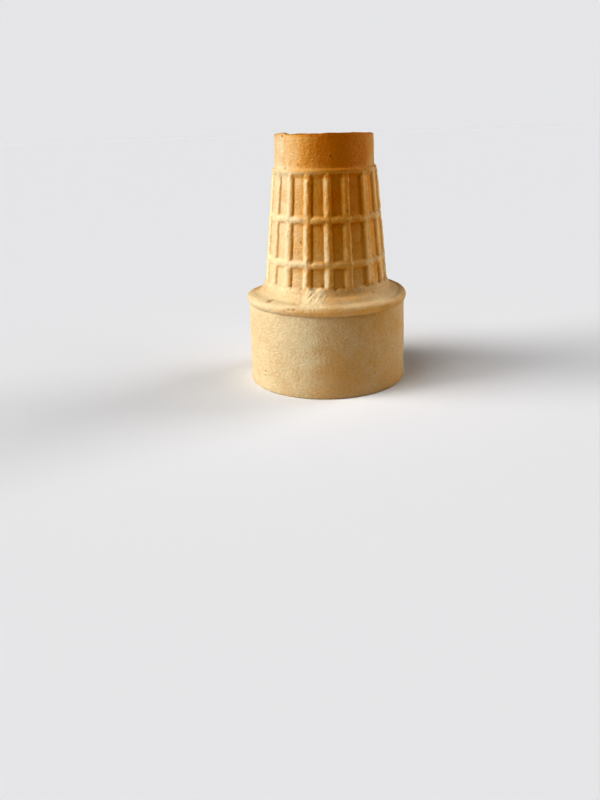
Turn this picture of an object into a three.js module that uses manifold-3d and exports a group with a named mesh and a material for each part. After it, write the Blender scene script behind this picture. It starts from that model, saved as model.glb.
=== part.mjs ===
// A moulded wafer cup for ice cream (a flat-bottomed cake cone), one piece of baked
// wafer. It stands upside down on its wide rim, so the narrow foot is on top.
// Millimetres, +Z up, origin at the middle of the rim's resting plane.
import * as THREE from 'three';
import { mergeVertices } from 'three/addons/utils/BufferGeometryUtils.js';
import Module from 'manifold-3d';

// ---- driving dimensions -------------------------------------------------------
const HEIGHT = 80;              // rim to foot
const WALL = 1.9;               // baked wafer thickness under the relief

// The mouth: an upright wall, closed above by a round bead.
const RIM_RADIUS = 26.8;        // outside of the mouth, at the resting plane
const RIM_ROUND = 0.45;         // rounding of the rim, which rests on a flat ring
const CREASE_RADIUS = 26.35;    // the wall where it meets the bead
const CREASE_Z = 26.9;
const BEAD_RADIUS = 27;         // widest place of the cup
const BEAD_Z = 28.5;
const BEAD_ROUND = 2;           // radius of the bead's section
const BEAD_ARC = [-50, 108];    // degrees of that section that show

// The flare: from a small valley inside the bead it rises slowly, then curves up into
// the ribbed body.
const FLARE_CORNER_RADIUS = 21.05;
const FLARE_CORNER_Z = 32;
const FLARE_INSET = 2.4;        // how far the inside of the flare lies under the outside
const INSIDE_FLARE_RISE = 1;    // how much higher the inside of the body begins
const INSIDE_FLARE_LEAN = 1;    // how far the inside of the flare bulges outwards

// The ribbed body.
const WINDOW_LOW_Z = 34.85;     // lower end of the panels between the ribs
const WINDOW_HIGH_Z = 68.2;     // and their upper end
const CREST_LOW_RADIUS = 20.5;  // rib crests at the lower end
const CREST_HIGH_RADIUS = 17.1; // and at the upper end
const RELIEF = 1;               // how far the ribs stand proud of the panels
const LEDGE = 0.7;              // height over which a panel's end rises to crest level
const TOP_RING_RADIUS = 16.75;  // the ring that closes the panels above
const TOP_RING_Z = 69.4;
const TOP_RING_ROUND = 1;
const TOP_RING_ARC = [-60, 60];

// The foot: a ring round a sunken floor.
const FOOT_LOW_RADIUS = 15.95;
const FOOT_LOW_Z = 72;
const FOOT_RADIUS = 15.65;
const FOOT_WALL = 1.8;
const FOOT_ROUND = 0.7;
const RECESS_DEPTH = 6;
const RECESS_DRAFT = 0.3;
const FLOOR_THICKNESS = 2;
const CORNER_ROUND = 1.6;       // inside corners round the floor, above and below

// Upright ribs, placed by the degrees from -Y towards +X. They aren't evenly pitched.
const FRONT_RIBS = [-60.8, -40.2, -18.9, 1.8, 20.6, 44.6, 63.4];
const BACK_RIB_COUNT = 11;      // evenly spread over the rest of the way round
const WIDE_RIB = 44.6;          // the one that is wider than the others
const WIDE_RIB_FACTOR = 1.23;
const RIB_BASE_HALF = 4.8;      // degrees from a rib's middle to its base
const RIB_CREST_HALF = 2.6;     // degrees to the edge of its crest
const RIB_CREST_DROP = 0.18;    // how much lower that edge is than the middle
const RIB_BURIED = 0.5;         // how far ribs reach into the wall
const RIB_LOW_Z = 33.5;         // their ends, at the flare and the top ring
const RIB_HIGH_Z = 68.9;

// Level ribs between them.
const HOOP_Z = [55.4, 41.8];
const HOOP_HALF_HEIGHT = 1.25;
const HOOP_CREST_HALF = 0.5;
const HOOP_SET_BACK = 0.08;     // their crests lie this much inside the upright ones

// A low grid on the sunken floor.
const GRID_OFFSETS = [-7, 0, 7];
const GRID_WIDTH = 1.8;
const GRID_RELIEF = 0.8;

const ROUND_SEGMENTS = 54;
const MERGE_TOLERANCE = 1e-4;

// ---- helpers ------------------------------------------------------------------
const wasm = await Module();
wasm.setup();

const radians = THREE.MathUtils.degToRad;
const at = (radius, z) => new THREE.Vector2(radius, z);

// Points on an arc from one angle to another, both ends included.
function arc(centre, radius, startDegrees, endDegrees, steps) {
  const points = [];
  for (let i = 0; i <= steps; i += 1) {
    const angle = radians(startDegrees + (endDegrees - startDegrees) * i / steps);
    points.push(at(centre.x + radius * Math.cos(angle), centre.y + radius * Math.sin(angle)));
  }
  return points;
}

// Points of a quadratic curve between two ends that leans towards a corner.
function curve(start, corner, end, steps) {
  return new THREE.QuadraticBezierCurve(start, corner, end).getPoints(steps);
}

// Rib crests lie on a plain cone; panels lie on the same cone, RELIEF further in.
function crestRadius(z) {
  return THREE.MathUtils.mapLinear(
    z, WINDOW_LOW_Z, WINDOW_HIGH_Z, CREST_LOW_RADIUS, CREST_HIGH_RADIUS);
}
const panelRadius = (z) => crestRadius(z) - RELIEF;

// A closed mesh as a manifold solid, and back again.
function toSolid(geometry) {
  geometry.deleteAttribute('normal');
  geometry.deleteAttribute('uv');
  const merged = mergeVertices(geometry, MERGE_TOLERANCE);
  return new wasm.Manifold(new wasm.Mesh({
    numProp: 3,
    vertProperties: new Float32Array(merged.attributes.position.array),
    triVerts: new Uint32Array(merged.index.array),
  }));
}

function toGeometry(solid) {
  const mesh = solid.getMesh();
  const geometry = new THREE.BufferGeometry();
  geometry.setAttribute('position', new THREE.BufferAttribute(mesh.vertProperties, 3));
  geometry.setIndex(new THREE.BufferAttribute(mesh.triVerts, 1));
  geometry.computeVertexNormals();
  return geometry;
}

// A profile of (radius, height) points turned round the Z axis.
function turned(profile) {
  const geometry = new THREE.LatheGeometry(profile, ROUND_SEGMENTS);
  geometry.rotateX(Math.PI / 2);
  return toSolid(geometry);
}

// ---- the plain shell: mouth, bead, flare, body, foot ring and sunken floor ------
// From the middle of the ceiling, along the inside wall and down to the rim.
function insideProfile() {
  const ceilingZ = HEIGHT - RECESS_DEPTH - FLOOR_THICKNESS;
  const topRadius = panelRadius(WINDOW_HIGH_Z) - WALL;
  const lowRadius = panelRadius(WINDOW_LOW_Z) - WALL;
  const cupRadius = CREASE_RADIUS - WALL;
  const cornerCentre = at(topRadius - CORNER_ROUND, ceilingZ - CORNER_ROUND);
  const flareStart = at(lowRadius, WINDOW_LOW_Z - FLARE_INSET + INSIDE_FLARE_RISE);
  const flareCorner = at(lowRadius + INSIDE_FLARE_LEAN, FLARE_CORNER_Z - FLARE_INSET);
  const flareEnd = at(cupRadius, CREASE_Z - FLARE_INSET);
  return [
    at(0, ceilingZ),
    ...arc(cornerCentre, CORNER_ROUND, 90, 0, 2),
    ...curve(flareStart, flareCorner, flareEnd, 4),
    ...arc(at(RIM_RADIUS - WALL + RIM_ROUND, RIM_ROUND), RIM_ROUND, 180, 270, 2),
  ];
}

// From the rim, up the outside to the foot, and down to the middle of the floor.
function outsideProfile() {
  const floorZ = HEIGHT - RECESS_DEPTH;
  const ringInside = FOOT_RADIUS - FOOT_WALL;
  const recessRadius = ringInside - RECESS_DRAFT;
  const bead = arc(at(BEAD_RADIUS - BEAD_ROUND, BEAD_Z), BEAD_ROUND, ...BEAD_ARC, 6);
  const flareCorner = at(FLARE_CORNER_RADIUS, FLARE_CORNER_Z);
  const flareEnd = at(CREST_LOW_RADIUS, WINDOW_LOW_Z - LEDGE);
  return [
    ...arc(at(RIM_RADIUS - RIM_ROUND, RIM_ROUND), RIM_ROUND, -90, 0, 2),
    at(CREASE_RADIUS, CREASE_Z),
    ...bead,
    ...curve(bead.at(-1), flareCorner, flareEnd, 5).slice(1),
    at(panelRadius(WINDOW_LOW_Z), WINDOW_LOW_Z),
    at(panelRadius(WINDOW_HIGH_Z), WINDOW_HIGH_Z),
    ...arc(at(TOP_RING_RADIUS - TOP_RING_ROUND, TOP_RING_Z), TOP_RING_ROUND, ...TOP_RING_ARC, 3),
    at(FOOT_LOW_RADIUS, FOOT_LOW_Z),
    ...arc(at(FOOT_RADIUS - FOOT_ROUND, HEIGHT - FOOT_ROUND), FOOT_ROUND, 0, 90, 2),
    ...arc(at(ringInside + FOOT_ROUND, HEIGHT - FOOT_ROUND), FOOT_ROUND, 90, 180, 2),
    ...arc(at(recessRadius - CORNER_ROUND, floorZ + CORNER_ROUND), CORNER_ROUND, 0, -90, 2),
    at(0, floorZ),
  ];
}

// ---- the relief: upright ribs, level ribs and the floor's grid ------------------
// An upright rib's section, pointing along -Y, at the body's lower end.
function ribSection(widthFactor) {
  const panel = panelRadius(WINDOW_LOW_Z);
  const side = [
    [RIB_BASE_HALF, panel - RIB_BURIED],
    [RIB_BASE_HALF, panel],
    [RIB_CREST_HALF, CREST_LOW_RADIUS - RIB_CREST_DROP],
  ];
  const otherSide = side.map(([bearing, radius]) => [-bearing, radius]).reverse();
  const corners = [...side, [0, CREST_LOW_RADIUS], ...otherSide];
  return new THREE.Shape(corners.reverse().map(([bearing, radius]) => {
    const angle = radians(bearing * widthFactor);
    return new THREE.Vector2(radius * Math.sin(angle), -radius * Math.cos(angle));
  }));
}

// The section narrows with the body: each end is scaled to its own radius.
function uprightRib(bearing) {
  const section = ribSection(bearing === WIDE_RIB ? WIDE_RIB_FACTOR : 1);
  const geometry = new THREE.ExtrudeGeometry(section, { depth: 1, bevelEnabled: false });
  const position = geometry.attributes.position;
  for (let i = 0; i < position.count; i += 1) {
    const z = position.getZ(i) === 0 ? RIB_LOW_Z : RIB_HIGH_Z;
    const scale = crestRadius(z) / CREST_LOW_RADIUS;
    position.setXYZ(i, position.getX(i) * scale, position.getY(i) * scale, z);
  }
  geometry.rotateZ(radians(bearing));
  return toSolid(geometry);
}

// A level rib's section follows the body's slope; it is a closed ring.
function levelRib(z) {
  const crest = crestRadius(z) - HOOP_SET_BACK;
  const slope = (CREST_HIGH_RADIUS - CREST_LOW_RADIUS) / (WINDOW_HIGH_Z - WINDOW_LOW_Z);
  const outline = [
    [-RELIEF - RIB_BURIED, HOOP_HALF_HEIGHT],
    [-RELIEF - RIB_BURIED, -HOOP_HALF_HEIGHT],
    [-RELIEF, -HOOP_HALF_HEIGHT],
    [0, -HOOP_CREST_HALF],
    [0, HOOP_CREST_HALF],
    [-RELIEF, HOOP_HALF_HEIGHT],
    [-RELIEF - RIB_BURIED, HOOP_HALF_HEIGHT],
  ];
  return turned(outline.map(([out, up]) => at(crest + out + slope * up, z + up)));
}

// A bar of the floor's grid; its ends run into the foot ring.
function floorBar(offset, turn) {
  const length = 2 * Math.sqrt((FOOT_RADIUS - FOOT_WALL) ** 2 - offset ** 2);
  const geometry = new THREE.BoxGeometry(length, GRID_WIDTH, GRID_RELIEF + RIB_BURIED);
  geometry.translate(0, offset, HEIGHT - RECESS_DEPTH + (GRID_RELIEF - RIB_BURIED) / 2);
  geometry.rotateZ(turn);
  return toSolid(geometry);
}

// Bearings of all upright ribs: the front ones, and the even ones behind them.
function ribBearings() {
  const last = FRONT_RIBS.at(-1);
  const gap = (360 + FRONT_RIBS[0] - last) / (BACK_RIB_COUNT + 1);
  const bearings = [...FRONT_RIBS];
  for (let i = 1; i <= BACK_RIB_COUNT; i += 1) {
    bearings.push(last + i * gap);
  }
  return bearings;
}

function waferCup() {
  let cup = turned([...insideProfile(), ...outsideProfile()]);
  for (const bearing of ribBearings()) {
    cup = cup.add(uprightRib(bearing));
  }
  for (const z of HOOP_Z) {
    cup = cup.add(levelRib(z));
  }
  for (const offset of GRID_OFFSETS) {
    cup = cup.add(floorBar(offset, 0));
    cup = cup.add(floorBar(offset, Math.PI / 2));
  }
  return cup;
}

// ---- the object -----------------------------------------------------------------
const wafer = new THREE.MeshStandardMaterial({
  color: new THREE.Color(0.86, 0.62, 0.36), roughness: 0.72, metalness: 0,
});
const wafer_cup = new THREE.Mesh(toGeometry(waferCup()), wafer);
wafer_cup.name = 'wafer_cup';

const group = new THREE.Group();
group.add(wafer_cup);

export default group;
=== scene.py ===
# %% [markdown]
# # A flat-bottomed wafer cup
#
# The object is one piece of baked wafer: a hollow cup for ice cream, moulded in a hinged
# iron. It stands upside down on its wide mouth, so its narrow foot is on top. From below
# it has an upright mouth wall, a crease, a round bead, a small valley, a flare that rises
# slowly and then curves up, a tapering body with upright and level ribs, a ring that
# closes the panels, a small step, and a smooth foot band.
#
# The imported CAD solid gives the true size. This lesson builds the same cup again with
# everything that baking does to it, and gives it a finish of wafer.

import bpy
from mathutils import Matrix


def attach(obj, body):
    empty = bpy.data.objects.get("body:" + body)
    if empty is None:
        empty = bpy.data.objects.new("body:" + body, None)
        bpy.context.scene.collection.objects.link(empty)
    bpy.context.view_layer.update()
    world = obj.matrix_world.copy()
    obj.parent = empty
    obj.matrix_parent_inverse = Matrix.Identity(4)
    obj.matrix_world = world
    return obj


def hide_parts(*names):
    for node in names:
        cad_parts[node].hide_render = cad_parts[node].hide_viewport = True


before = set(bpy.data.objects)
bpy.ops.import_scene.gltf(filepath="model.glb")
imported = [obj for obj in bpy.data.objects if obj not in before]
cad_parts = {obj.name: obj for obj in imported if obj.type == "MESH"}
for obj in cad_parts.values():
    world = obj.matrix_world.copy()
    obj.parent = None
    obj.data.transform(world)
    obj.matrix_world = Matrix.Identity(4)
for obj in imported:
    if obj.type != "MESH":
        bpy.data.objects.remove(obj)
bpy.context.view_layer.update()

# %% Tools for the lesson
import math

import bpy
import numpy as np
from mathutils import Matrix, Vector

MM = 0.001
print("lengths below are in millimetres, and the meshes are made in metres")

# %% [markdown]
# ## Where everything is seen from
#
# The camera comes first, because each later cell is seen through it. It looks down by
# about 22 degrees from just over the foot, so the foot's top is seen almost edge on. The
# real cup leans a little to the left; here the cup is upright, so the camera is turned by
# the same small angle instead. The place was found by fitting the widths and heights of
# the cup's rings, and it is a matrix: first the place, then the lean, then the look
# downwards, then the camera's own small roll.

# %% The camera
CAMERA_PLACE = Vector((-5.88, -240.2, 84.32)) * MM
CUP_LEAN = math.radians(2.61)
LOOK_DOWN = math.radians(21.55)
CAMERA_ROLL = math.radians(0.99)

camera_data = bpy.data.cameras.new("camera")
camera_data.lens = 31.97
camera_data.sensor_width = 36.0
camera_data.clip_start = 0.01
camera_data.clip_end = 20.0
camera = bpy.data.objects.new("camera", camera_data)
camera.matrix_world = (
    Matrix.Translation(CAMERA_PLACE)
    @ Matrix.Rotation(CUP_LEAN, 4, "Y")
    @ Matrix.Rotation(math.pi / 2 - LOOK_DOWN, 4, "X")
    @ Matrix.Rotation(CAMERA_ROLL, 4, "Z")
)
bpy.context.collection.objects.link(camera)
bpy.context.scene.camera = camera
print("camera height over the table, mm:", round(CAMERA_PLACE.z / MM, 1))

# %% [markdown]
# ## The cup's measures
#
# A wafer mould is turned on a lathe first, so most of the cup is a line of (radius,
# height) points that is swept round an axis. The numbers are those of the CAD solid: the
# new surface has to lie in the same place, because the solid is what touches and weighs.
# Bearings are degrees round the axis, from the side that faces the camera towards the
# right. There are 18 ribs. They were cut into the iron by hand and eye, so their spacing
# isn't quite even, and one rib is wider than the rest.

# %% Measures of the cup
WALL = 1.9
WINDOW_LOW = 34.85
WINDOW_HIGH = 68.3
CREST_LOW = 20.5
CREST_HIGH = 17.1
RIB_RELIEF = 0.9
HOOP_HEIGHTS = (55.4, 41.8)
HOOP_HALF = 1.25
PARTING_BEARINGS = (34.6, 214.6)
RIB_HALF = 4.8
WIDE_RIB_HALF = 5.9
WIDE_RIB_BEARING = 44.6

FRONT_RIBS = [-60.8, -40.2, -18.9, 1.8, 20.6, WIDE_RIB_BEARING, 63.4]
BACK_RIB_COUNT = 11
BACK_RIBS = np.linspace(FRONT_RIBS[-1], 360 + FRONT_RIBS[0], BACK_RIB_COUNT + 2)[1:-1]
RIB_BEARINGS = np.array([*FRONT_RIBS, *BACK_RIBS])
RIB_HALVES = np.where(RIB_BEARINGS == WIDE_RIB_BEARING, WIDE_RIB_HALF, RIB_HALF)
print("upright ribs at bearings:", np.round(RIB_BEARINGS, 1))

# %% [markdown]
# ## Where the vertices go round the cup
#
# An even grid would cut each rib at other places, so some ribs would look sharp and
# others soft. Here every rib brings its own set of columns, close together at its two
# feet, where the shape turns sharply, and wide apart on the flat panel between ribs.

# %% Columns of vertices
RIB_COLUMNS = np.array([0, 0.16, 0.31, 0.47, 0.62, 0.76, 0.87, 0.96, 1.04, 1.18])
PANEL_COLUMNS = 8


def column_bearings():
    """Bearings of all columns, each rib's own set and the panel that follows it."""
    across_rib = np.concatenate([-RIB_COLUMNS[:0:-1], RIB_COLUMNS])
    order = np.argsort((RIB_BEARINGS + 180) % 360)
    columns = []
    for here, following in zip(order, np.roll(order, -1)):
        gap = (RIB_BEARINGS[following] - RIB_BEARINGS[here]) % 360
        first = RIB_COLUMNS[-1] * RIB_HALVES[here]
        last = gap - RIB_COLUMNS[-1] * RIB_HALVES[following]
        columns.append(RIB_BEARINGS[here] + across_rib * RIB_HALVES[here])
        panel = np.linspace(first, last, PANEL_COLUMNS + 2)[1:-1]
        columns.append(RIB_BEARINGS[here] + panel)
    return np.concatenate(columns)


BEARING = column_bearings()
print("columns round the cup:", len(BEARING))

# %% [markdown]
# ## Rumpled, but the same every time
#
# Batter that bakes in an iron never gives a perfect surface. Blender's noise lives in the
# shader, and a mesh needs its own. A sum of a few dozen plain waves, each with its own
# direction, gives a soft rumpled field, and a seed makes it come out the same each run.
#
# Nearly all else is placed with three soft shapes: a step, a band and a bell. Bearings
# are kept as a row and heights as a column, so a sum of the two fills the whole grid.

# %% Helpers for soft shapes
BODY_RADIUS = 20.0


def smooth_step(low, high, value):
    """0 below low, 1 above high, and a soft ramp between them."""
    part = np.clip((value - low) / (high - low), 0, 1)
    return part * part * (3 - 2 * part)


def band(value, start, full, fading, gone):
    """A soft band: it rises from start to full, and falls again from fading to gone."""
    return smooth_step(start, full, value) * (1 - smooth_step(fading, gone, value))


def bell(offset, size):
    """1 in the middle, and about a third at a distance of size from it."""
    return np.exp(-(offset / size) ** 2)


def smooth_max(first, second, blend):
    """The higher of two surfaces, with the corner between them rounded over blend."""
    gap = np.clip(0.5 + 0.5 * (second - first) / blend, 0, 1)
    return first + (second - first) * gap + blend * gap * (1 - gap)


def turned_by(bearing, middle):
    """Degrees from one bearing to another, the short way round."""
    return (bearing - middle + 180) % 360 - 180


def rumple(points, wavelength, seed, waves=32):
    """A soft random field over points in millimetres, of about plus or minus 1."""
    random = np.random.default_rng(seed)
    directions = random.normal(size=(waves, 3))
    directions /= np.linalg.norm(directions, axis=1)[:, None]
    lengths = wavelength * random.uniform(0.75, 1.35, waves)
    phases = random.uniform(0, 2 * np.pi, waves)
    total = np.zeros(points.shape[:-1])
    for direction, length, phase in zip(directions, lengths, phases):
        total += np.cos(points @ direction * (2 * np.pi / length) + phase)
    return total / math.sqrt(waves)


def on_cylinder(bearing, radius, height):
    """Points in millimetres; bearing 0 faces -Y, and bearing 90 faces +X."""
    turn = np.radians(bearing)
    radius, height, turn = np.broadcast_arrays(radius, height, turn)
    return np.stack([radius * np.sin(turn), -radius * np.cos(turn), height], axis=-1)


sample = rumple(on_cylinder(BEARING, BODY_RADIUS, 50.0), 3.0, seed=1)
print("rumple reaches from", round(sample.min(), 2), "to", round(sample.max(), 2))

# %% [markdown]
# ## The line that is turned
#
# The outside is drawn as one path of (radius, height) points, from the resting rim up to
# the foot and down into the sunken floor. Rows lie close together where the section is
# tight, such as on the bead and the level ribs, and wide apart on plain walls.

# %% The outside path
def arc(radius, height, size, start, end, steps):
    """Points on a round corner, given by its middle, its size and two angles."""
    turn = np.radians(np.linspace(start, end, steps + 1))
    return np.column_stack([radius + size * np.cos(turn), height + size * np.sin(turn)])


def bend(start, corner, end, steps):
    """Points on a curve from start to end that leans towards a corner."""
    part = np.linspace(0, 1, steps + 1)[:, None]
    start, corner, end = np.array(start), np.array(corner), np.array(end)
    return (1 - part) ** 2 * start + 2 * part * (1 - part) * corner + part ** 2 * end


def straight(start, end, steps):
    """Points on a straight stretch."""
    return np.linspace(start, end, steps + 1)


def panel_radius(height):
    """The panels between the ribs lie on a plain cone."""
    part = (height - WINDOW_LOW) / (WINDOW_HIGH - WINDOW_LOW)
    return CREST_LOW + (CREST_HIGH - CREST_LOW) * part - RIB_RELIEF


def window_heights(low, high):
    """Heights of the rows over the panels, closer at their ends and at the level ribs."""
    heights = [low]
    while heights[-1] < high - 0.1:
        here = heights[-1]
        near_hoop = min(abs(here + 0.15 - hoop) for hoop in HOOP_HEIGHTS)
        near_end = min(here - low, high - here)
        step = 0.27 if near_hoop < 2.1 or near_end < 1.3 else 0.8
        heights.append(min(here + step, high))
    return np.array(heights)


window_rows = window_heights(34.2, 67.4)
outside_path = np.concatenate([
    # the rim
    straight((25.35, 0), (26.35, 0), 2),
    arc(26.35, 0.45, 0.45, -90, 0, 3)[1:],
    # the mouth wall and the bead
    straight((26.8, 0.45), (26.35, 26.9), 15)[1:],
    arc(25.1, 28.55, 1.9, -50, 108, 16),
    # the flare and the panels
    straight((24.4, 30.32), (21.8, 32.0), 9),
    bend((21.8, 32.0), (21.05, 32.5), (20.55, 34.2), 9)[1:-1],
    np.column_stack([panel_radius(window_rows), window_rows]),
    # the ring and the step
    bend((16.31, 67.6), (16.36, 68.4), (16.82, 69.1), 6),
    arc(16.22, 69.65, 0.6, 0, 75, 6),
    bend((16.28, 70.3), (15.98, 70.4), (15.95, 72.0), 6)[1:],
    # the foot band, its edge and the side of the sunken floor
    straight((15.95, 72.0), (15.65, 79.7), 12)[1:],
    arc(15.35, 79.7, 0.3, 0, 90, 3)[1:],
    arc(14.55, 79.3, 0.7, 90, 180, 4),
    straight((13.85, 79.3), (13.55, 75.6), 5)[1:],
    arc(11.95, 75.6, 1.6, 0, -90, 5)[1:],
])
print("rows up the outside:", len(outside_path))

# %% [markdown]
# ## Ribs, level ribs and windows
#
# The upright ribs are cut into the mould with a round cutter, so they stand up as half
# rounds with a sharp foot on each side. No two are quite alike: those at the left are
# lower, and two at the right are flatter, with a shallow groove along them. The level
# ribs were cut the same way. Each bows up a little between two upright ones, and its
# batter is lumpy. Each surface is written as a height over the panel, and the highest one
# wins. A soft maximum leaves the small fillet that a real mould has.

# %% The relief over the panels
LOW_LEFT_RIBS = (0.80, 0.90)
GROOVED_RIBS = (4, 5)
SILL_DIPS = (-12.2, 7.0)


def nearest_rib(bearing):
    """Degrees to the middle of the nearest upright rib, and which rib that is."""
    gaps = turned_by(bearing[:, None], RIB_BEARINGS[None, :])
    which = np.abs(gaps).argmin(axis=1)
    return gaps[np.arange(len(bearing)), which], which


def half_round(offset, half_width, roundness=2.0, fullness=0.75):
    """A half round section: 1 in its middle and 0 from its foot on."""
    return np.clip(1 - np.abs(offset / half_width) ** roundness, 0, None) ** fullness


def upright_ribs(bearing, height):
    """The upright ribs, each with its own small faults, as parts of the full relief."""
    offset, which = nearest_rib(bearing)
    random = np.random.default_rng(11)
    width = RIB_HALVES * random.uniform(0.96, 1.03, len(RIB_BEARINGS))
    tallness = random.uniform(0.95, 1.0, len(RIB_BEARINGS))
    tallness[:2] = LOW_LEFT_RIBS
    roundness = np.where(RIB_HALVES > RIB_HALF, 2.6, 2.0)
    points = on_cylinder(RIB_BEARINGS[which], BODY_RADIUS, height)
    sway = 0.15 * rumple(points, 14.0, seed=12) + 0.24 * rumple(points, 2.4, seed=14)
    ribs = tallness[which] * half_round(offset + sway, width[which], roundness[which])
    groove = 0.21 * bell(offset, 0.30 * RIB_HALVES[which]) * np.isin(which, GROOVED_RIBS)
    knots = 0.08 * rumple(on_cylinder(bearing, BODY_RADIUS, height), 1.7, seed=13)
    return ribs * (1 + knots) - groove


def level_ribs(bearing, height):
    """The level ribs, which bow up between the upright ones and are a little lumpy."""
    offset, which = nearest_rib(bearing)
    from_foot = np.clip((np.abs(offset) - RIB_HALVES[which]) / 5.0, 0, 1)
    bow = 0.15 * np.sin(0.5 * np.pi * from_foot) - 0.04
    total = 0.0
    for index, middle in enumerate(HOOP_HEIGHTS):
        along = on_cylinder(bearing, BODY_RADIUS, middle)
        drift = bow + 0.10 * rumple(along, 9.0, seed=21 + index)
        lumps = 1 + 0.07 * rumple(along, 2.2, seed=31 + index)
        half = HOOP_HALF * (1 + 0.07 * rumple(along, 2.8, seed=41 + index))
        section = half_round(height - middle - drift, half, 2.0, 0.65)
        total = np.maximum(total, 0.94 * section * lumps)
    return total


def window_ends(bearing, height):
    """The sill under each window, a little uneven, with dips at the feet of the ribs."""
    offset, which = nearest_rib(bearing)
    along = on_cylinder(bearing, BODY_RADIUS, WINDOW_LOW)
    sill = WINDOW_LOW - 0.05 + 0.16 * rumple(along, 5.0, seed=51)
    sill -= 0.30 * bell(np.abs(offset) - RIB_HALVES[which] - 0.5, 0.9)
    for middle in SILL_DIPS:
        sill -= 0.75 * bell(turned_by(bearing, middle), 1.3)
    return 1 - smooth_step(-0.6, 0.0, height - sill)


def parting_plates(bearing):
    """One half of the mould stands a little higher, which leaves a step at the parting."""
    return sum(0.30 * band(turned_by(bearing, middle), -11.5, -9.0, -0.9, 0.5)
               for middle in PARTING_BEARINGS)


def relief(bearing, height):
    """How far the wafer stands out over the panels, from 0 to about 1."""
    surface = smooth_max(parting_plates(bearing), level_ribs(bearing, height), 0.12)
    surface = smooth_max(surface, window_ends(bearing, height), 0.10)
    return smooth_max(surface, upright_ribs(bearing, height), 0.10)


raised = relief(BEARING, window_rows[:, None])
print("relief reaches", round(raised.max(), 2), "times", RIB_RELIEF, "mm")

# %% [markdown]
# ## Faults of baking
#
# Small faults make food look real: a crumbly pale patch where batter crept over the
# flare, thin flash at the parting lines, and small slits, pits and blobs. The small ones
# are soft spots with a bearing and height, a half width and half height. Slits also lean,
# and blobs have a rise.

# %% Faults in the surface
PATCH_BEARING = -11.0
FLARE_RADIUS = 22.0


def spot(bearing, height, place, size, lean=0.0):
    """A soft spot: 1 in its middle, fading over its half width and half height in mm."""
    on_flare = 1 - smooth_step(29, 34, place[1])
    on_foot = smooth_step(66, 72, place[1])
    radius = BODY_RADIUS + 6.0 * on_flare - 3.5 * on_foot
    across = np.radians(turned_by(bearing, place[0])) * radius
    up = height - place[1] - lean * across
    return bell(across, size[0]) * bell(up, size[1])


SLITS = (
    ((-47.5, 30.5), (1.05, 0.15), 0.16),
    ((-25.5, 29.35), (1.3, 0.14), 0.0),
)
PITS = (
    ((-4.2, 35.3), (0.26, 0.34)),
    ((-28.2, 29.35), (0.34, 0.24)),
    ((-23.6, 29.35), (0.34, 0.22)),
    ((-50.0, 70.6), (0.36, 0.26)),
    ((8.0, 73.5), (0.26, 0.22)),
    ((-31.0, 71.4), (0.22, 0.18)),
    ((-27.0, 71.2), (0.20, 0.16)),
    ((128.0, 74.6), (0.40, 0.34)),
    ((205.0, 72.8), (0.36, 0.40)),
    ((262.0, 31.4), (0.50, 0.34)),
)
BLOBS = (
    ((2.0, 65.7), (0.9, 0.7), 0.16),
    ((67.0, 55.3), (1.6, 1.1), 0.22),
    ((60.0, 31.8), (2.4, 0.9), 0.24),
    ((-28.0, 66.4), (1.1, 0.9), 0.10),
    ((-10.5, 42.9), (1.2, 0.6), 0.12),
    ((160.0, 41.8), (1.4, 0.8), 0.18),
)


def crumbly_patch(bearing, height):
    """Where batter crept over the flare, with ragged edges."""
    points = on_cylinder(bearing, FLARE_RADIUS, height)
    ragged = 1.2 * rumple(points, 3.2, seed=65) + 0.5 * rumple(points, 1.3, seed=66)
    along = np.abs(turned_by(bearing, PATCH_BEARING)) + ragged
    upward = height + 0.25 * ragged
    return (1 - smooth_step(4.0, 11.5, along)) * band(upward, 29.9, 31.2, 34.3, 35.1)


def crumbs_of(bearing, height):
    """Slanting crumbs, drawn out along the way the batter ran, about plus or minus 1."""
    across = np.radians(turned_by(bearing, PATCH_BEARING)) * FLARE_RADIUS
    across, up = np.broadcast_arrays(across, height)
    slanting = np.stack([0.77 * across - 0.64 * up, 0.25 * (0.64 * across + 0.77 * up),
                         np.zeros(across.shape)], axis=-1)
    return rumple(slanting, 0.85, seed=64)


def faults(bearing, height, points):
    """Millimetres that the faults add along the surface's normal."""
    total = 0.055 * rumple(points, 16.0, seed=61)
    total += 0.030 * rumple(points, 5.0, seed=62)
    total += 0.016 * rumple(points, 1.9, seed=63)
    crumbs = crumbly_patch(bearing, height)
    total += crumbs * (0.08 + 0.10 * crumbs_of(bearing, height))
    for place, size, lean in SLITS:
        total -= 0.26 * spot(bearing, height, place, size, lean)
    for place, size in PITS:
        total -= 0.30 * spot(bearing, height, place, size)
    for place, size, rise in BLOBS:
        total += rise * spot(bearing, height, place, size)
    off_the_panels = 1 - band(height, 33.5, 34.5, 69.0, 71.0)
    for middle in PARTING_BEARINGS:
        total += 0.07 * bell(turned_by(bearing, middle), 0.8) * off_the_panels
    return total


print("faults placed:", len(SLITS) + len(PITS) + len(BLOBS))

# %% [markdown]
# ## Sweeping the outside
#
# Now the path is swept round the columns. The relief pushes the wall outwards, away from
# the axis, the way a mould half pulls off. The faults push it along its own normal, so
# that they also work on the bead and on the foot's top edge. Last, some heights change:
# the foot's edge was trimmed by hand, the flare slumped on two sides before it set, and
# batter filled up the valley inside the bead at the left and at the right.

# %% Points of the outside
def path_normals(path):
    """Unit normals of a (radius, height) path that has the solid on its left."""
    along = np.gradient(path, axis=0)
    along /= np.maximum(np.linalg.norm(along, axis=1), 1e-9)[:, None]
    return np.column_stack([along[:, 1], -along[:, 0]])


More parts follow.
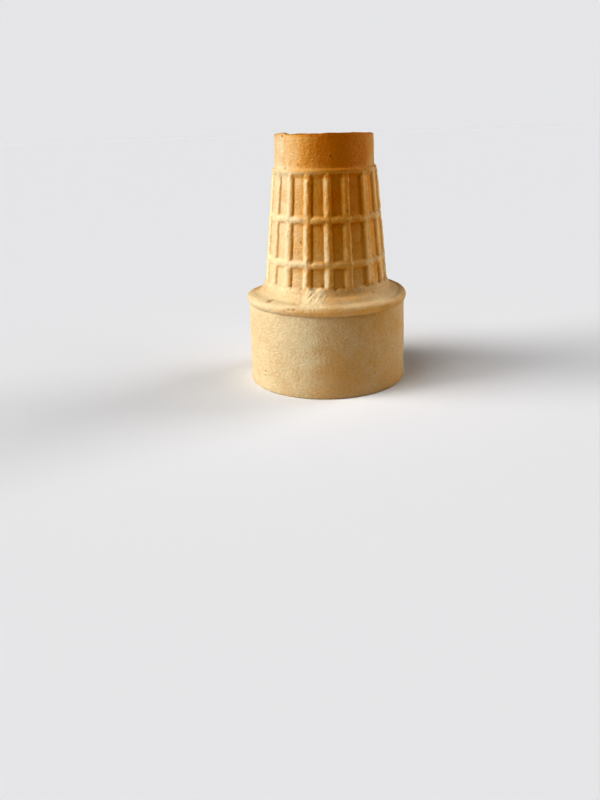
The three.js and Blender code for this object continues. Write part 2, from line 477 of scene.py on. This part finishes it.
TRIM_BEARINGS = [-180, -110, -77, -62, -54, -44, -36, -20, 0, 26, 38, 51, 64, 76, 110, 180]
TRIM_HEIGHTS = [-0.2, 0.15, 0.45, 0.6, 0.8, 0.15, 0.2, 0.25, 0.45, 0.5, 0.45, 0.2, 0.0, -0.1, -0.2, -0.2]


def settling(bearing, radius, height, points):
    """Millimetres added to heights: trimmed edge, slumped flare and filled valley."""
    facing = turned_by(bearing, 0)
    edge = smooth_step(78.0, 79.6, height)
    trimmed = np.interp(facing, TRIM_BEARINGS, TRIM_HEIGHTS)
    slump = 1.3 * bell(turned_by(bearing, -112), 19) + 0.7 * bell(turned_by(bearing, 62), 16)
    left = 0.33 * (1 - smooth_step(-38, -20, facing))
    right = 0.24 * smooth_step(64, 80, facing)
    valley = bell(radius - 24.35, 0.7) * (height > 29.0)
    lift = edge * (trimmed - 0.05 + 0.05 * rumple(points, 6.0, seed=71))
    return lift - slump * band(height, 28.9, 30.3, 31.5, 33.8) + (left + right) * valley


def sweep_outside(path, bearing):
    """Points of the outside in millimetres, as rows and columns, and the relief there."""
    radius, height = path[:, :1], path[:, 1:]
    swept_radius = np.repeat(radius, len(bearing), axis=1)
    raised_by = np.zeros(swept_radius.shape)
    in_body = (path[:, 1] > 33.4) & (path[:, 1] < 69.5) & (path[:, 0] > 15.2)
    body_height = height[in_body]
    panels = panel_radius(body_height)
    sunk_at_top = 0.6 * smooth_step(68.6, 69.5, body_height)
    mounted = panels + RIB_RELIEF * relief(bearing, body_height) - sunk_at_top
    swept_radius[in_body] = smooth_max(swept_radius[in_body], mounted, 0.06)
    raised_by[in_body] = swept_radius[in_body] - panels
    points = on_cylinder(bearing, swept_radius, height)
    off_the_rim = smooth_step(0.0, 2.0, height)
    push = faults(bearing, height, points) * off_the_rim
    normal = path_normals(path)
    swept_radius = swept_radius + push * normal[:, :1]
    lifted = height + push * normal[:, 1:] + settling(bearing, radius, height, points)
    return on_cylinder(bearing, swept_radius, lifted), raised_by


outside, outside_relief = sweep_outside(outside_path, BEARING)
print("points on the outside:", outside.shape[0] * outside.shape[1])

# %% [markdown]
# ## The sunken floor and the inside
#
# The foot is a ring round a floor that is stiffened by a low grid. The inside is plain,
# as the core of the mould is a smooth cone. Both are seen less than the outside, so they
# use every second and every third column. Where two rings with different counts meet,
# each wide face takes all the points of the finer ring.

# %% Points of the floor and the inside
CEILING_HEIGHT = 72.0
FLOOR_HEIGHT = 74.0
GRID_HEIGHT = 0.8
GRID_OFFSETS = (-7.0, 0.0, 7.0)


def floor_rings(bearing):
    """Rings of the sunken floor, from the corner to near its middle, with its bars."""
    rings = []
    for radius in np.concatenate([np.arange(11.6, 3.0, -0.42), np.arange(2.7, 0.2, -0.5)]):
        flat = on_cylinder(bearing, radius, FLOOR_HEIGHT)
        rise = 0.0
        for offset in GRID_OFFSETS:
            for across in (flat[:, 0], flat[:, 1]):
                bar = 1 - smooth_step(0.55, 1.25, np.abs(across - offset))
                rise = smooth_max(rise, GRID_HEIGHT * bar, 0.1)
        flat[:, 2] += rise + 0.05 * rumple(flat, 4.0, seed=81)
        rings.append(flat)
    return rings


def inside_rings(bearing):
    """Rings of the inside, from near the middle of its ceiling down to the rim."""
    top = panel_radius(WINDOW_HIGH) - WALL
    low = panel_radius(WINDOW_LOW) - WALL
    path = np.concatenate([
        straight((0.6, CEILING_HEIGHT), (top - 1.6, CEILING_HEIGHT), 10),
        arc(top - 1.6, 70.4, 1.6, 90, 0, 4)[1:],
        straight((top, 70.4), (low, 33.1), 14)[1:],
        bend((low, 33.1), (low + 0.8, 29.2), (24.4, 24.0), 6)[1:],
        straight((24.4, 24.0), (24.9, 0.45), 8)[1:],
        arc(25.35, 0.45, 0.45, 180, 250, 2)[1:],
    ])
    rings = []
    for radius, height in path:
        ring = on_cylinder(bearing, radius, height)
        soft = 0.05 * rumple(ring, 12.0, seed=82) * min(1.0, height / 4.0)
        rings.append(on_cylinder(bearing, radius + soft, height))
    return rings


under_floor = floor_rings(BEARING[::2])
inside = inside_rings(BEARING[::3])
print("floor rings:", len(under_floor), " inside rings:", len(inside))

# %% [markdown]
# ## One closed skin
#
# A single closed mesh is what the piece is, so light can't leak through it and it can be
# weighed or printed. The rings are put in one order, from the middle of the ceiling down
# the inside, round the rim, up the outside, and over the foot to the middle of the floor,
# and each is joined to the next.

# %% Join the rings
def steps_round(ring):
    """Each point of a ring with the one that follows it."""
    return list(zip(ring, [*ring[1:], ring[0]]))


def join_rings(first, second):
    """Faces between two rings of point numbers; either may be a single point."""
    if len(first) == 1:
        return [(first[0], following, here) for here, following in steps_round(second)]
    if len(second) == 1:
        return [(here, following, second[0]) for here, following in steps_round(first)]
    faces = []
    coarse, fine = (first, second) if len(first) < len(second) else (second, first)
    ratio = len(fine) // len(coarse)
    closed = [*fine, fine[0]]
    for index, (here, following) in enumerate(steps_round(coarse)):
        along = closed[ratio * index:ratio * (index + 1) + 1]
        if coarse is first:
            faces.append((here, following, *along[::-1]))
        else:
            faces.append((*along, following, here))
    return faces


def closed_mesh(name, rings):
    """A mesh in metres from rings of points in millimetres, each joined to the next."""
    faces = []
    start = 0
    previous = None
    for ring in rings:
        numbers = list(range(start, start + len(ring)))
        if previous is not None:
            faces.extend(join_rings(previous, numbers))
        previous = numbers
        start += len(ring)
    mesh = bpy.data.meshes.new(name)
    mesh.from_pydata(np.concatenate(rings) * MM, [], faces)
    mesh.polygons.foreach_set("use_smooth", [True] * len(mesh.polygons))
    mesh.update()
    return mesh


ceiling_middle = np.array([[0.0, 0.0, CEILING_HEIGHT]])
floor_middle = np.array([[0.0, 0.0, FLOOR_HEIGHT + GRID_HEIGHT]])
all_rings = [ceiling_middle, *inside, *outside, *under_floor, floor_middle]
wafer_mesh = closed_mesh("wafer", all_rings)
wafer = bpy.data.objects.new("wafer", wafer_mesh)
bpy.context.collection.objects.link(wafer)
triangles = sum(len(face.vertices) - 2 for face in wafer_mesh.polygons)
print("wafer:", len(wafer_mesh.vertices), "points,", triangles, "triangles")

# %% [markdown]
# ## Where it browned
#
# Wafer browns where the iron was hottest and the batter thinnest. One side of this cup
# baked longer than the other, the foot more than the mouth, and the thin panels more than
# the thick ribs, while the bead and the flare stayed pale. This is worked out once per
# point and kept on the mesh as plain numbers, which the material reads and then breaks up
# with finer noise. Toast runs from 0, pale cream, to 1, toasted brown. Each height has
# its own range of it, and patches, each a band of heights crossed with a band of
# bearings, add what is special to one place.

# %% The hot side and the foot
EDGE_RADIUS = 14.9
# height, browning on the hot side, toast on the palest side
BROWNING_ROWS = (
    (20.0, 0.28, 0.02),
    (26.5, 0.36, 0.0),
    (28.5, 0.46, 0.05),
    (29.6, 0.26, 0.02),
    (30.4, 0.16, 0.0),
    (31.5, 0.23, 0.06),
    (33.8, 0.34, 0.09),
    (35.0, 0.52, 0.02),
    (38.0, 0.66, 0.0),
    (48.0, 0.82, 0.03),
    (62.0, 0.85, 0.09),
    (70.0, 0.79, 0.03),
    (72.0, 0.86, 0.13),
    (80.0, 0.86, 0.13),
)
BROWNING_HEIGHTS, BROWNING_STRENGTHS, PALE_STRENGTHS = np.transpose(BROWNING_ROWS)
# name, strength, and where it starts, is full, fades and is gone: heights, bearings
TOAST_PATCHES = (
    ("lowest panels at the right", 0.13, (34.5, 35.5, 39.5, 41.0), (30, 38, 60, 75)),
    # this row is painted shade under the ring, at the tops of the windows
    ("step under the foot", 0.22, (67.2, 67.9, 68.7, 69.1), (-48, -34, 20, 60)),
    ("right of the foot", -0.13, (69.8, 71.6, 90.0, 91.0), (50, 70, 90, 130)),
)


def patches(rows, facing, height):
    """The sum of soft patches at each point."""
    return sum(strength * band(height, *heights) * band(facing, *bearings)
               for _, strength, heights, bearings in rows)


def hot_side(bearing, height):
    """How much of its height's browning each point got; flare and mouth wall start later."""
    facing = turned_by(bearing, 0)
    begins = np.interp(height, [30, 34, 68, 71], [-61, -52, -52, -61])
    early = smooth_step(begins, 12, facing)
    late = smooth_step(-22, 13, facing)
    flare = band(height, 29.4, 30.2, 32.0, 34.5)
    mouth_wall = 1 - smooth_step(26.6, 27.4, height)
    fading = 1 - 0.55 * smooth_step(32, 105, facing) - 0.30 * smooth_step(95, 170, facing)
    side = (early + (late - early) * (flare + mouth_wall)) * fading
    back = 0.30 * bell(turned_by(bearing, 195), 55)
    return np.maximum(side, back)


def foot_toast(bearing, height, points):
    """What is special to the foot band: a ragged patch in front, one behind, and drips."""
    facing = turned_by(bearing, 0)
    ragged = 2.5 * rumple(points, 4.0, seed=93) + 1.5 * rumple(points, 1.6, seed=94)
    front = smooth_step(-28.5, -24, facing + ragged) * (1 - smooth_step(45, 90, facing))
    turned = facing % 360
    behind = smooth_step(130.0, 145.0, turned + ragged)
    behind *= 1 - smooth_step(200.0, 225.0, turned - ragged)
    drips = rumple(points * np.array([1.0, 1.0, 0.12]), 2.4, seed=95)
    return smooth_step(69.8, 71.6, height) * (0.09 * front + 0.25 * behind + 0.06 * drips - 0.02)


print("patches of toast:", [name for name, *_ in TOAST_PATCHES])

# %% [markdown]
# ### Pale crests, with painted light and shade on the flanks
#
# The ribs' left flanks get a painted highlight and their right flanks painted shade, as
# the light at the left falls on them, with a thin line of painted shade at their right
# feet. Crests are pale too. The level ribs get a painted highlight on top and painted
# shade along their lower side, and hide the flanks where they cross.

# %% Toasting
def flank_of(bearing):
    """Where each column lies on its rib: 0 is the crest, -1 and 1 are the two feet."""
    offset, which = nearest_rib(bearing)
    return offset / RIB_HALVES[which]


def on_body(height):
    """1 over the ribbed body, and 0 on the flare and on the foot."""
    return band(height, 34.5, 35.5, 67.5, 68.5)


def on_level_rib(above):
    """1 on a level rib, and 0 from a little above and below it."""
    return np.exp(-(above / 1.5) ** 4)


def painted_rib_light(bearing, height):
    """Painted light and shade on the upright and level ribs, added to the toasting."""
    flank = flank_of(bearing)
    facing = turned_by(bearing, 0)
    left = band(flank, -1.22, -0.95, -0.35, 0.10)
    begins = 0.30 * (1 - smooth_step(-45, -22, facing))
    right = band(flank, begins - 0.05, begins + 0.30, 1.0, 1.2)
    # a thin line of painted shade at the right foot of each rib
    foot_shade_line = bell(flank - 0.95, 0.22) * band(facing, -75, -55, -35, -20)
    # painted highlight on the left flanks, painted shade on the right flanks
    left_highlight = 0.44 * bell(facing + 1.5, 21)
    right_shade = 0.36 * band(facing, -66, -22, -9, 10)
    right_shade += 0.05 * (1 - smooth_step(10, 30, facing))
    total = on_body(height) * (right_shade * right - left_highlight * left + 0.22 * foot_shade_line)
    between = 0.4 + 0.6 * smooth_step(0.8, 1.2, np.abs(flank))
    near_parting = band(facing, 20, 28, 40, 48)
    for middle in HOOP_HEIGHTS:
        above = height - middle
        # painted highlight on top of each level rib, painted shade under it
        top_highlight = 0.12 * bell(above - 0.6, 0.7) * (1 - 0.8 * near_parting)
        under_shade = 0.11 * bell(above + 1.3, 0.6)
        total = total * (1 - 0.85 * on_level_rib(above)) + (under_shade - top_highlight) * between
    return total


def toasting(bearing, height, radius, raised_by, points):
    """How brown the wafer is at each point: 0 is pale cream and 1 is toasted brown."""
    facing = turned_by(bearing, 0)
    uneven = 0.05 * rumple(points, 20.0, seed=91) + 0.035 * rumple(points, 6.0, seed=92)
    strength = np.interp(height, BROWNING_HEIGHTS, BROWNING_STRENGTHS)
    palest = np.interp(height, BROWNING_HEIGHTS, PALE_STRENGTHS)
    toast = palest + strength * hot_side(bearing, height) + uneven
    on_rib = 1 - smooth_step(0.9, 1.15, np.abs(flank_of(bearing)))
    right_ribs = on_rib * smooth_step(21, 25, facing)
    crest_paler = 0.10 + (0.09 + 0.24 * right_ribs) * smooth_step(35.0, 36.2, height)
    toast -= crest_paler * np.clip(raised_by, 0, 1)
    # painted light and shade on the ribs is added here, with the foot's own toast
    toast += painted_rib_light(bearing, height) + foot_toast(bearing, height, points)
    on_crumbs = smooth_step(-1.2, 0.2, crumbs_of(bearing, height))
    toast -= 0.10 * crumbly_patch(bearing, height) * on_crumbs
    toast += patches(TOAST_PATCHES, facing, height)
    toast += 0.10 * smooth_step(75, 115, np.abs(facing)) + 0.08 * smooth_step(60, 85, facing)
    # painted shade along the foot's trimmed top edge
    toast += 0.20 * smooth_step(79.0, 79.7, height) * (radius > EDGE_RADIUS)
    return np.clip(toast, 0, 1)


row_height = outside_path[:, 1:]
row_radius = outside_path[:, :1]
toast_outside = toasting(BEARING, row_height, row_radius, outside_relief, outside)
print("toast runs from", round(toast_outside.min(), 2), "to", round(toast_outside.max(), 2))

# %% [markdown]
# ### Painted light and shade
#
# Brightness is painted here as a factor near 1. A painted highlight brightens the crests,
# the tops and lower sides of the level ribs, the bead and some panels, and painted shade
# darkens the valley inside the bead and the upper flare. The crumbly patch is made a
# little brighter too. This changes how bright the wafer is but not its shade of brown, so
# it is kept apart from the toasting.

# %% Painting light and shade
# rows like those of TOAST_PATCHES
PAINTED_LIGHT_PATCHES = (
    # rows that add are painted light, rows that take away are painted shade
    ("face of the bead", 0.20, (27.0, 27.8, 28.9, 29.6), (-20, 6, 30, 45)),
    ("left of the bead", 0.05, (27.0, 27.8, 30.3, 30.5), (-42, -30, -8, 4)),
    ("top of the bead", 0.09, (28.9, 29.6, 30.3, 30.5), (8, 22, 50, 75)),
    ("valley", -0.13, (30.1, 30.5, 31.2, 31.9), (0, 10, 30, 45)),
    ("left of the flare", 0.08, (30.3, 31.0, 34.0, 34.8), (-56, -44, -28, -18)),
    ("upper flare", -0.12, (31.6, 32.4, 34.0, 34.8), (0, 8, 28, 42)),
    ("left of the foot", 0.08, (68.3, 69.2, 90.0, 91.0), (-58, -46, -26, -16)),
)
# painted light along the lower sides of the level ribs, at the left and at the right
UNDER_AT_LEFT = 0.15
UNDER_AT_RIGHT = (0.04, 0.15)


def painting_light_and_shade(bearing, height, raised_by):
    """Painted light and shade as a factor on brightness, and a brighter crumbly patch."""
    facing = turned_by(bearing, 0)
    flank = flank_of(bearing)
    crest = smooth_step(0.35, 0.7, raised_by) * on_body(height)
    right_half = smooth_step(0.2, 0.6, flank)
    far = smooth_step(37, 43, facing)
    near_ribs = (0.12 + 0.08 * (1 - smooth_step(8, 20, facing))) * right_half
    far_ribs = 0.11 * (1 - right_half) - 0.09 * right_half * (1 - smooth_step(54, 58, facing))
    lit = 0.05 + 0.06 * smooth_step(-12, 24, facing) + near_ribs * (1 - far) + far_ribs * far
    panel = 0.17 * smooth_step(46, 54, facing) + 0.07 * band(facing, -52, -42, -22, -14)
    total = crest * lit + panel * on_body(height) * (1 - crest)
    between = smooth_step(0.7, 1.1, np.abs(flank))
    at_left = 1 - smooth_step(-24, -6, facing)
    for middle, at_right in zip(HOOP_HEIGHTS, UNDER_AT_RIGHT):
        above = height - middle
        top = 0.07 * bell(above - 0.7, 0.5) * (1 - smooth_step(-2, 30, facing))
        under = (at_right + (UNDER_AT_LEFT - at_right) * at_left) * bell(above + 0.9, 0.6)
        total *= 1 - on_level_rib(above) * (0.5 + 0.5 * between)
        total += (top + under) * (0.4 + 0.6 * between)
    total += 0.07 * crumbly_patch(bearing, height)
    return 1 + total + patches(PAINTED_LIGHT_PATCHES, facing, height)


painted_light_outside = painting_light_and_shade(BEARING, row_height, outside_relief)
print("bloom runs from", round(painted_light_outside.min(), 2), "to", round(painted_light_outside.max(), 2))

# %% [markdown]
# ### Painted shade, and keeping it all
#
# The slits, the pits and the foot's trimmed edge get painted shade, a darker colour where
# shade falls in them. The four kinds of numbers are then stored on the mesh by name. The
# inside and the sunken floor get one plain value each.

# %% Painted shade, and the numbers kept on the mesh
def painting_shade(bearing, height, radius, points):
    """Painted shade in the slits and pits, and along the foot's trimmed edge."""
    total = 0.0
    for place, size, lean in SLITS:
        total = np.maximum(total, 0.75 * spot(bearing, height, place, size, lean))
    for place, size in PITS:
        total = np.maximum(total, 0.9 * spot(bearing, height, place, size))
    edge = smooth_step(79.78, 79.95, height) * (radius > EDGE_RADIUS)
    return np.maximum(total, edge * np.clip(0.5 + 0.25 * rumple(points, 5.0, seed=97), 0, 1))


def keep_on_mesh(mesh, name, on_inside, on_outside, on_floor):
    """Stores one number per point, in the order of the rings, for a material to read."""
    before = np.full(1 + sum(len(ring) for ring in inside), on_inside)
    after = np.full(1 + sum(len(ring) for ring in under_floor), on_floor)
    values = np.concatenate([before, on_outside.ravel(), after])
    layer = mesh.attributes.new(name, "FLOAT", "POINT")
    layer.data.foreach_set("value", values.astype(np.float32))


painted_shade_outside = painting_shade(BEARING, row_height, row_radius, outside)
crumbs_outside = crumbly_patch(BEARING, row_height)
keep_on_mesh(wafer_mesh, "toast", 0.25, toast_outside, 0.45)
keep_on_mesh(wafer_mesh, "painted_shade", 0.0, painted_shade_outside, 0.0)
keep_on_mesh(wafer_mesh, "painted_light_and_shade", 1.05, painted_light_outside, 1.0)
keep_on_mesh(wafer_mesh, "crumbs", 0.0, crumbs_outside, 0.0)
print("four kinds of numbers kept for", len(wafer_mesh.vertices), "points")

# %% [markdown]
# ## Building blocks for the finish
#
# Three effects make the finish, and each is a small node group with named sockets, so it
# can be read and reused: browned colour, fine baked grain, and open pores. Each group
# gives only colours, masks and heights. The shader itself stays in the material.

# %% Helpers for node groups
def srgb(red, green, blue):
    """A colour picked on screen, 0 to 255, as the linear colour that nodes expect."""
    parts = []
    for value in (red, green, blue):
        value = value / 255
        parts.append(value / 12.92 if value <= 0.04045 else ((value + 0.055) / 1.055) ** 2.4)
    return (*parts, 1.0)


def new_group(name, numbers, output, kind="NodeSocketFloat"):
    """An empty node group that takes a place and some numbers, and its two end nodes."""
    group = bpy.data.node_groups.new(name, "ShaderNodeTree")
    group.interface.new_socket("Place", in_out="INPUT", socket_type="NodeSocketVector")
    for label, value in numbers.items():
        socket = group.interface.new_socket(label, in_out="INPUT", socket_type="NodeSocketFloat")
        socket.default_value = value
    group.interface.new_socket(output, in_out="OUTPUT", socket_type=kind)
    return group, group.nodes.new("NodeGroupInput"), group.nodes.new("NodeGroupOutput")


def fill(tree, node, inputs):
    """Fills a node's inputs and returns it: sockets are linked, plain values are set."""
    for label, value in inputs.items():
        if isinstance(value, bpy.types.NodeSocket):
            tree.links.new(value, node.inputs[label])
        else:
            node.inputs[label].default_value = value
    return node


def noise(tree, vector, scale, detail=2.0, roughness=0.5):
    """A noise texture on a vector in millimetres; scale counts features per mm."""
    inputs = {"Vector": vector, "Scale": scale, "Detail": detail, "Roughness": roughness}
    return fill(tree, tree.nodes.new("ShaderNodeTexNoise"), inputs).outputs["Fac"]


def ramp(tree, value, low, high, to_low=0.0, to_high=1.0):
    """Maps a value from one range to another and clamps it."""
    inputs = {"Value": value, "From Min": low, "From Max": high, "To Min": to_low, "To Max": to_high}
    return fill(tree, tree.nodes.new("ShaderNodeMapRange"), inputs).outputs["Result"]


def sums(tree, operation, first, second):
    """A Math node; each side is a socket or a plain number."""
    node = tree.nodes.new("ShaderNodeMath")
    node.operation = operation
    return fill(tree, node, {0: first, 1: second}).outputs[0]


def blend_colours(tree, factor, first, second, mode="MIX"):
    """A Mix node for colours, which are its inputs 6 and 7 and its output 2."""
    node = tree.nodes.new("ShaderNodeMix")
    node.data_type = "RGBA"
    node.blend_type = mode
    return fill(tree, node, {0: factor, 6: first, 7: second}).outputs[2]


print("cream as a linear colour:", tuple(round(part, 3) for part in srgb(244, 214, 160)))

# %% [markdown]
# ### Browned colour
#
# Baking takes wafer from cream over gold and tan to brown, and never past it through
# grey, so a colour ramp over one toasting value keeps every shade on that line. Noise is
# added to the value and not to the colour: blotches then stay inside the same line. A
# last noise makes the shade a little brighter or darker from spot to spot, as a skin of
# uneven thickness does.

# %% Node group: browned wafer colour
# place on the ramp, and the shade there as seen on screen
SHADES = (
    (0.0, (232, 214, 178)),
    (0.17, (225, 197, 155)),
    (0.33, (223, 185, 129)),
    (0.5, (220, 176, 108)),
    (0.67, (217, 164, 82)),
    (0.83, (213, 151, 60)),
    (1.0, (210, 137, 37)),
)


def make_browned_colour():
    numbers = {"Toast": 0.4, "Blotches": 0.10, "Speckle": 0.08}
    group, start, end = new_group("browned wafer colour", numbers, "Color", "NodeSocketColor")
    place = start.outputs["Place"]
    toast = start.outputs["Toast"]
    fields = {
        "Blotches": noise(group, place, 0.22, 3.0, 0.6),
        "Speckle": noise(group, place, 1.2, 4.0, 0.75),
    }
    for label, field in fields.items():
        around_zero = sums(group, "SUBTRACT", field, 0.5)
        added = sums(group, "MULTIPLY", around_zero, start.outputs[label])
        toast = sums(group, "ADD", toast, added)
    shades = group.nodes.new("ShaderNodeValToRGB")
    stops = shades.color_ramp.elements
    for index, (position, shade) in enumerate(SHADES):
        stop = stops[index] if index < 2 else stops.new(position)
        stop.position = position
        stop.color = srgb(*shade)
    group.links.new(toast, shades.inputs["Fac"])
    mottle = ramp(group, noise(group, place, 0.9, 4.0, 0.7), 0.2, 0.8, 0.92, 1.08)
    mottled = blend_colours(group, 1.0, shades.outputs["Color"], mottle, "MULTIPLY")
    group.links.new(mottled, end.inputs["Color"])
    return group


browned_colour = make_browned_colour()
print("group made:", browned_colour.name)

# %% [markdown]
# ### Baked grain
#
# Up close wafer is neither smooth nor sandy: it has a fine leathery grain with shallow
# dimples, because steam leaves through it. Two sizes of noise give the grain, a smooth
# Voronoi pattern gives the dimples, and a third noise comes in where the batter is
# crumbly. The group gives one height for a Bump node.

# %% Node group: baked grain
def make_baked_grain():
    group, start, end = new_group("baked grain", {"Roughened": 0.0}, "Height")
    place = start.outputs["Place"]
    skin = noise(group, place, 1.1, 3.0, 0.55)
    grain = noise(group, place, 2.6, 4.0, 0.7)
    dimples = group.nodes.new("ShaderNodeTexVoronoi")
    dimples.feature = "SMOOTH_F1"
    fill(group, dimples, {"Vector": place, "Scale": 1.7, "Smoothness": 0.6})
    crumbs = noise(group, place, 1.9, 4.0, 0.75)
    crumbs = sums(group, "MULTIPLY", crumbs, start.outputs["Roughened"])
    height = sums(group, "MULTIPLY", skin, 0.6)
    for part, share in ((grain, 0.55), (dimples.outputs["Distance"], 0.30), (crumbs, 1.5)):
        height = sums(group, "ADD", height, sums(group, "MULTIPLY", part, share))
    group.links.new(height, end.inputs["Height"])
    return group


baked_grain = make_baked_grain()
print("group made:", baked_grain.name)

# %% [markdown]
# ### Open pores
#
# Here and there a bubble broke through the skin and left a pinhole. Voronoi cells give
# one point per cell; only cells whose random colour is high enough get a hole, so pores
# are few and unevenly spread. The mask darkens the colour as painted shade in the hole,
# and lowers the bump.

# %% Node group: open pores
def make_open_pores():
    group, start, end = new_group("open pores", {"Size": 0.16}, "Mask")
    cells = group.nodes.new("ShaderNodeTexVoronoi")
    fill(group, cells, {"Vector": start.outputs["Place"], "Scale": 0.62})
    parts = group.nodes.new("ShaderNodeSeparateColor")
    group.links.new(cells.outputs["Color"], parts.inputs["Color"])
    chosen = ramp(group, parts.outputs[0], 0.955, 0.985)
    reach = sums(group, "DIVIDE", cells.outputs["Distance"], start.outputs["Size"])
    hole = ramp(group, reach, 0.35, 1.0, 1.0, 0.0)
    group.links.new(sums(group, "MULTIPLY", hole, chosen), end.inputs["Mask"])
    return group


open_pores = make_open_pores()
print("group made:", open_pores.name)

# %% [markdown]
# ## The wafer finish
#
# The material puts the blocks together. Toasting comes from the mesh, pores get painted
# shade, and the crumbly patch is pale dry batter. Painted light and shade then makes all
# of that brighter or darker, and painted shade goes into the slits and pits last, so that
# nothing pales it. Wafer is dull but not chalky: the sugar in it leaves a soft sheen, so
# roughness is middling and rises where it is crumbly.

# %% Material: baked wafer
def group_node(tree, group, **inputs):
    """Places a node group in a tree and fills its inputs by socket name."""
    node = tree.nodes.new("ShaderNodeGroup")
    node.node_tree = group
    return fill(tree, node, inputs)


def mesh_value(tree, name):
    """Reads one of the numbers kept on the mesh."""
    node = tree.nodes.new("ShaderNodeAttribute")
    node.attribute_name = name
    return node.outputs["Fac"]


def new_material(name):
    """A material, its node tree and the shader in it."""
    material = bpy.data.materials.new(name)
    material.use_nodes = True
    return material, material.node_tree, material.node_tree.nodes["Principled BSDF"]


def make_baked_wafer():
    material, tree, shader = new_material("baked wafer")
    coordinates = tree.nodes.new("ShaderNodeTexCoord")
    to_mm = tree.nodes.new("ShaderNodeVectorMath")
    to_mm.operation = "SCALE"
    fill(tree, to_mm, {0: coordinates.outputs["Object"], "Scale": 1 / MM})
    place = to_mm.outputs[0]

    crumbs = mesh_value(tree, "crumbs")
    colour = group_node(tree, browned_colour, Place=place, Toast=mesh_value(tree, "toast"),
                        Blotches=0.20, Speckle=0.52)
    pores = group_node(tree, open_pores, Place=place, Size=0.22).outputs["Mask"]
    # painted shade in the pinholes
    shade = blend_colours(tree, sums(tree, "MULTIPLY", pores, 0.5),
                          colour.outputs["Color"], srgb(160, 100, 50))
    batter = sums(tree, "MULTIPLY", crumbs, 0.85)
    shade = blend_colours(tree, batter, shade, srgb(254, 234, 196))
    # painted light and shade kept on the mesh brightens or darkens the colour
    shade = blend_colours(tree, 1.0, shade, mesh_value(tree, "painted_light_and_shade"), "MULTIPLY")
    # painted shade in the slits, pits and along the foot's top edge goes on last
    shade = blend_colours(tree, mesh_value(tree, "painted_shade"), shade, srgb(150, 96, 44))

    grain = group_node(tree, baked_grain, Place=place, Roughened=crumbs).outputs["Height"]
    height = sums(tree, "SUBTRACT", grain, sums(tree, "MULTIPLY", pores, 1.2))
    bump = tree.nodes.new("ShaderNodeBump")
    fill(tree, bump, {"Strength": 1.0, "Distance": 0.35 * MM, "Height": height})

    dull = ramp(tree, noise(tree, place, 0.9, 2.0), 0.3, 0.7, 0.44, 0.58)
    dull = sums(tree, "ADD", dull, sums(tree, "MULTIPLY", crumbs, 0.2))
    fill(tree, shader, {"Base Color": shade, "Normal": bump.outputs["Normal"],
                        "Roughness": dull, "Specular IOR Level": 0.45})
    return material


baked_wafer = make_baked_wafer()
wafer_mesh.materials.append(baked_wafer)
print("material made:", baked_wafer.name, "with", len(baked_wafer.node_tree.nodes), "nodes")

# %% [markdown]
# ## The stage
#
# A plain pale table and soft light are all that the cup needs. Each light is a Sun lamp
# with a wide angle: it gives the soft edges of a window or a large panel, but it lights
# near and far alike, so the table stays even up to where it meets the room. The window
# light comes from the left, so the ribs' left sides shine and their right sides fall into
# shade. A second one from higher up brightens the flare, the bead and the table. At the
# right, a far fill from a little behind keeps the cup's edge clear, and a weak near fill
# from a little in front opens up the shade.
#
# The room that the camera sees has the table's own brightness, so no edge shows between
# them. What lights the cup from there is much darker, or the shade would turn milky.
#
# Cameras also add contrast: they darken the shadows of each colour a little. A gamma under
# 1 and a small black level do the same here, and make the shaded wafer a richer brown.

# %% Table, room and lights
SOFTNESS = math.radians(36)
TABLE_RADIUS = 5.0
TABLE_COLOUR = (0.77, 0.77, 0.78, 1.0)
ROOM_GLOW = 0.02
# name, bearing, elevation, strength
LIGHTS = (
    ("window light", -84, 25, 2.55),
    ("upper window light", -60, 60, 1.70),
    ("far fill", 113, 25, 1.60),
    ("near fill", 75, 30, 0.40),
)


def make_table():
    material, tree, shader = new_material("pale table")
    fill(tree, shader, {"Base Color": TABLE_COLOUR, "Roughness": 1.0, "Specular IOR Level": 0.0})
    bpy.ops.mesh.primitive_circle_add(vertices=96, radius=TABLE_RADIUS, fill_type="NGON")
    table = bpy.context.object
    table.name = "table"
    table.data.materials.append(material)


def soft_light(name, bearing, elevation, strength):
    """A Sun lamp that shines from a bearing round the cup and a height over the table."""
    data = bpy.data.lights.new(name, "SUN")
    data.energy = strength
    data.angle = SOFTNESS
    light = bpy.data.objects.new(name, data)
    rise = math.radians(elevation)
    away = Vector(on_cylinder(bearing, math.cos(rise), math.sin(rise)))
    light.location = away
    light.rotation_mode = "QUATERNION"
    light.rotation_quaternion = away.to_track_quat("Z", "Y")
    bpy.context.collection.objects.link(light)


def table_brightness():
    """How bright a white table would look: each lamp counts by the sine of its height."""
    lamps = sum(strength * math.sin(math.radians(elevation))
                for _, _, elevation, strength in LIGHTS)
    return lamps / math.pi + ROOM_GLOW


def make_room(seen, felt):
    """A plain pale room: what the camera sees of it and, apart from that, its light."""
    world = bpy.data.worlds.new("room")
    bpy.context.scene.world = world
    world.use_nodes = True
    tree = world.node_tree
    background = tree.nodes["Background"]
    path = tree.nodes.new("ShaderNodeLightPath")
    colour = blend_colours(tree, path.outputs["Is Camera Ray"], felt, seen)
    fill(tree, background, {"Color": colour, "Strength": 1.0})


def add_contrast(settings, gamma, black):
    """A plain view with a little more contrast, and shadows that reach black sooner."""
    settings.view_transform = "Standard"
    settings.gamma = gamma
    settings.use_curve_mapping = True
    settings.curve_mapping.black_level = (black, black, black)


make_table()
seen_room = tuple(part * table_brightness() for part in TABLE_COLOUR[:3])
make_room(seen=(*seen_room, 1.0), felt=(ROOM_GLOW, ROOM_GLOW, ROOM_GLOW, 1.0))
for light_values in LIGHTS:
    soft_light(*light_values)
add_contrast(bpy.context.scene.view_settings, gamma=0.667, black=0.03)
print("lights:", [name for name, *_ in LIGHTS])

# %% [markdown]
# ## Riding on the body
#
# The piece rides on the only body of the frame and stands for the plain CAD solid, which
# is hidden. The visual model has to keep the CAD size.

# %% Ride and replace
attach(wafer, "root")
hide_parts("wafer_cup")
